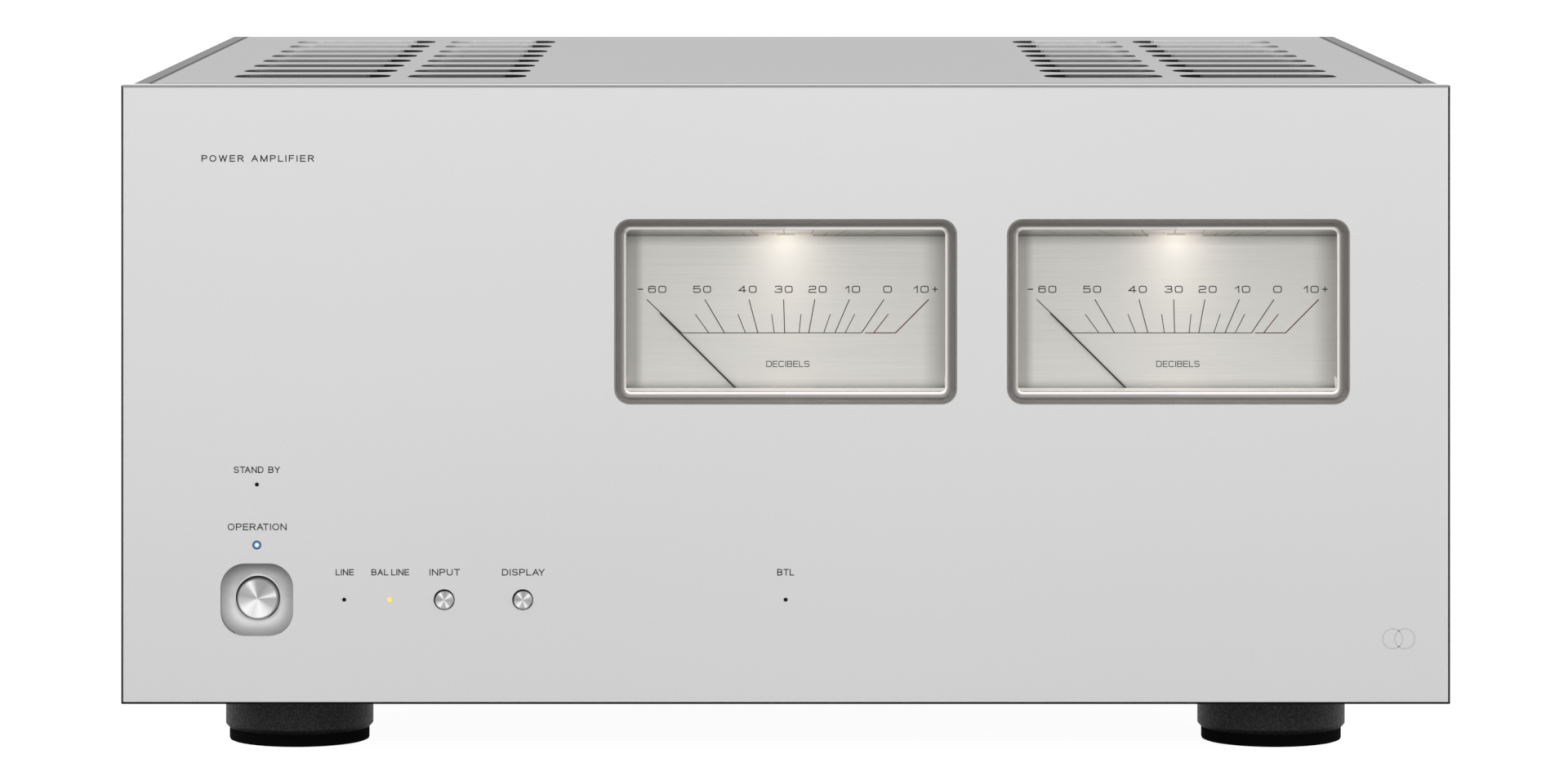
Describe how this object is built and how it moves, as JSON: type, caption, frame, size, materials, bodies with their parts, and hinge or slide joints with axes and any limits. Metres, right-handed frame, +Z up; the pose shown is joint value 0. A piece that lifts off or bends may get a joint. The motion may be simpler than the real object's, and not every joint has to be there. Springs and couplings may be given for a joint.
{
  "type": "power amplifier",
  "caption": "Silver hi-fi stereo power amplifier with a thick flat front, two needle meters, a dished power button, slotted top vents and round feet.",
  "frame": {"origin": "centre of the overall footprint on the plane the feet stand on", "axes": "+Z up, the front panel faces -Y, +X to the right seen from the front"},
  "size_m": [0.44, 0.488, 0.224],
  "materials": {
    "panel_aluminium": "fine bead-blasted, silver anodised",
    "cover_aluminium": "satin silver anodised",
    "bezel_aluminium": "polished satin, silver",
    "dial_silver": "horizontally brushed silver, printed scale",
    "needle_black": "matte black",
    "clear_window": "clear, anti-glare",
    "button_aluminium": "spun face, silver anodised",
    "chassis_steel": "satin black",
    "plated_steel": "zinc plated",
    "mesh_black": "matte black",
    "screw_steel": "black oxide",
    "foot_black": "satin black coating",
    "foot_rubber": "matte",
    "case_plastic": "moulded",
    "lamp_white": "warm white diffuser",
    "led_dark": "smoked lens",
    "led_blue": "blue lens",
    "board_green": "solder mask",
    "gold_plate": "gold plated",
    "terminal_black": "moulded, clear coated",
    "terminal_red": "moulded, clear coated",
    "socket_black": "moulded",
    "core_steel": "varnished laminations",
    "winding_copper": "varnished winding under tape",
    "capacitor_sleeve": "black sleeve, bare top",
    "heatsink_black": "black anodised",
    "device_black": "moulded package",
    "wire_sleeve": "insulated"
  },
  "bodies": {
    "chassis": {"front_panel": "panel_aluminium", "front_subchassis": "plated_steel", "top_cover": "cover_aluminium", "vent_mesh": "mesh_black", "side_panel_left": "cover_aluminium", "side_panel_right": "cover_aluminium", "rear_panel": "chassis_steel", "base_plate": "chassis_steel", "partition_walls": "plated_steel", "foot_housings": "foot_black", "foot_pads": "foot_rubber", "chassis_screws": "screw_steel", "meter_bezel_left": "bezel_aluminium", "meter_bezel_right": "bezel_aluminium", "meter_window_left": "clear_window", "meter_window_right": "clear_window", "meter_dial_left": "dial_silver", "meter_dial_right": "dial_silver", "meter_cases": "case_plastic", "meter_movements": "case_plastic", "meter_lamps": "lamp_white", "power_button_spring": "plated_steel", "power_switch": "case_plastic", "control_board": "board_green", "indicator_leds": "led_dark", "operation_led": "led_blue", "terminal_posts": "gold_plate", "terminal_bushings": "terminal_black", "rca_jacks": "gold_plate", "xlr_jacks": "socket_black", "mode_switch": "plated_steel", "ac_inlet": "socket_black", "transformer_core": "core_steel", "transformer_windings": "winding_copper", "transformer_bracket": "plated_steel", "filter_capacitors": "capacitor_sleeve", "power_supply_board": "board_green", "heatsink_left": "heatsink_black", "heatsink_right": "heatsink_black", "output_transistors": "device_black", "amplifier_boards": "board_green", "input_board": "board_green", "relay_boards": "board_green", "wiring": "wire_sleeve"},
    "power_button": {"power_button": "button_aluminium"},
    "input_button": {"input_button": "button_aluminium"},
    "display_button": {"display_button": "button_aluminium"},
    "needle_left": {"meter_needle_left": "needle_black"},
    "needle_right": {"meter_needle_right": "needle_black"},
    "latch_left": {"xlr_latch_left": "socket_black"},
    "latch_right": {"xlr_latch_right": "socket_black"},
    "mode_lever": {"mode_switch_lever": "socket_black"},
    "washer_left_negative": {"terminal_washer_left_negative": "gold_plate"},
    "cap_left_negative": {"terminal_cap_left_negative": "terminal_black"},
    "washer_left_positive": {"terminal_washer_left_positive": "gold_plate"},
    "cap_left_positive": {"terminal_cap_left_positive": "terminal_red"},
    "washer_right_positive": {"terminal_washer_right_positive": "gold_plate"},
    "cap_right_positive": {"terminal_cap_right_positive": "terminal_red"},
    "washer_right_negative": {"terminal_washer_right_negative": "gold_plate"},
    "cap_right_negative": {"terminal_cap_right_negative": "terminal_black"}
  },
  "joints": [
    {"name": "power_button_press", "type": "slide", "parent": "chassis", "child": "power_button", "axis": [0, 1, 0], "range_m": [0, 0.0025], "stiffness_N_per_m": 400, "springref_m": -0.002, "deforming": ["power_button_spring"]},
    {"name": "input_button_press", "type": "slide", "parent": "chassis", "child": "input_button", "axis": [0, 1, 0], "range_m": [0, 0.001]},
    {"name": "display_button_press", "type": "slide", "parent": "chassis", "child": "display_button", "axis": [0, 1, 0], "range_m": [0, 0.001]},
    {"name": "left_needle_swing", "type": "hinge", "parent": "chassis", "child": "needle_left", "pos_m": [0, -0.228, 0.106], "axis": [0, 1, 0], "range_deg": [-1.5, 92.5]},
    {"name": "right_needle_swing", "type": "hinge", "parent": "chassis", "child": "needle_right", "pos_m": [0.13, -0.228, 0.106], "axis": [0, 1, 0], "range_deg": [-1.5, 92.5]},
    {"name": "left_latch_press", "type": "slide", "parent": "chassis", "child": "latch_left", "axis": [0, 0, -1], "range_m": [0, 0.0006]},
    {"name": "right_latch_press", "type": "slide", "parent": "chassis", "child": "latch_right", "axis": [0, 0, -1], "range_m": [0, 0.0006]},
    {"name": "mode_lever_slide", "type": "slide", "parent": "chassis", "child": "mode_lever", "axis": [1, 0, 0], "range_m": [0, 0.007]},
    {"name": "washer_slide_left_negative", "type": "slide", "parent": "chassis", "child": "washer_left_negative", "axis": [0, 1, 0], "range_m": [0, 0.00375]},
    {"name": "cap_turn_left_negative", "type": "hinge", "parent": "washer_left_negative", "child": "cap_left_negative", "pos_m": [-0.158, 0.23, 0.082], "axis": [0, 1, 0], "range_deg": [0, 1080]},
    {"name": "washer_slide_left_positive", "type": "slide", "parent": "chassis", "child": "washer_left_positive", "axis": [0, 1, 0], "range_m": [0, 0.00375]},
    {"name": "cap_turn_left_positive", "type": "hinge", "parent": "washer_left_positive", "child": "cap_left_positive", "pos_m": [-0.118, 0.23, 0.082], "axis": [0, 1, 0], "range_deg": [0, 1080]},
    {"name": "washer_slide_right_positive", "type": "slide", "parent": "chassis", "child": "washer_right_positive", "axis": [0, 1, 0], "range_m": [0, 0.00375]},
    {"name": "cap_turn_right_positive", "type": "hinge", "parent": "washer_right_positive", "child": "cap_right_positive", "pos_m": [0.118, 0.23, 0.082], "axis": [0, 1, 0], "range_deg": [0, 1080]},
    {"name": "washer_slide_right_negative", "type": "slide", "parent": "chassis", "child": "washer_right_negative", "axis": [0, 1, 0], "range_m": [0, 0.00375]},
    {"name": "cap_turn_right_negative", "type": "hinge", "parent": "washer_right_negative", "child": "cap_right_negative", "pos_m": [0.158, 0.23, 0.082], "axis": [0, 1, 0], "range_deg": [0, 1080]}
  ],
  "couplings": [
    {"joint": "washer_slide_left_negative", "follows": "cap_turn_left_negative", "m_per_rad": 0.00019894},
    {"joint": "washer_slide_left_positive", "follows": "cap_turn_left_positive", "m_per_rad": 0.00019894},
    {"joint": "washer_slide_right_positive", "follows": "cap_turn_right_positive", "m_per_rad": 0.00019894},
    {"joint": "washer_slide_right_negative", "follows": "cap_turn_right_negative", "m_per_rad": 0.00019894}
  ]
}
